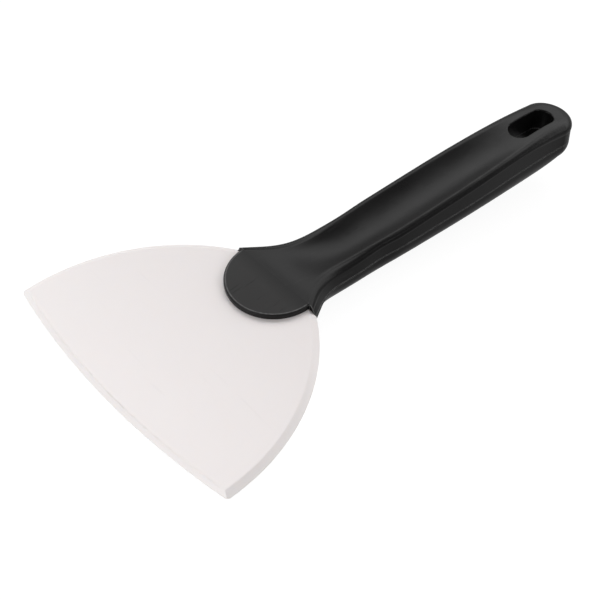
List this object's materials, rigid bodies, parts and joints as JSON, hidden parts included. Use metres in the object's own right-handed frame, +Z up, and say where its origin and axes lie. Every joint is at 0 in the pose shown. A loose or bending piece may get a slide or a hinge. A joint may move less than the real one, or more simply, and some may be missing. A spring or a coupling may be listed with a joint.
{
  "type": "bench scraper",
  "caption": "Plastic hand scraper: white fan-shaped blade clamped between two black handle half-shells with a round lobe, thumb trough and hanging slot.",
  "frame": {"origin": "on the bench, under the middle of the tool's bounding box, with the tool lying on the middle of its scraping edge and the belly of its handle, lobe and thumb trough up", "axes": "+X along the tool from the scraping edge to the hanging end, +Y across the blade, +Z up"},
  "size_m": [0.2466, 0.1202, 0.0294],
  "materials": {
    "blade_plastic": "smooth satin, moulded",
    "handle_plastic": "satin, fine moulded texture"
  },
  "bodies": {
    "root": {"blade": "blade_plastic", "handle_upper_shell": "handle_plastic", "handle_lower_shell": "handle_plastic"}
  },
  "joints": []
}
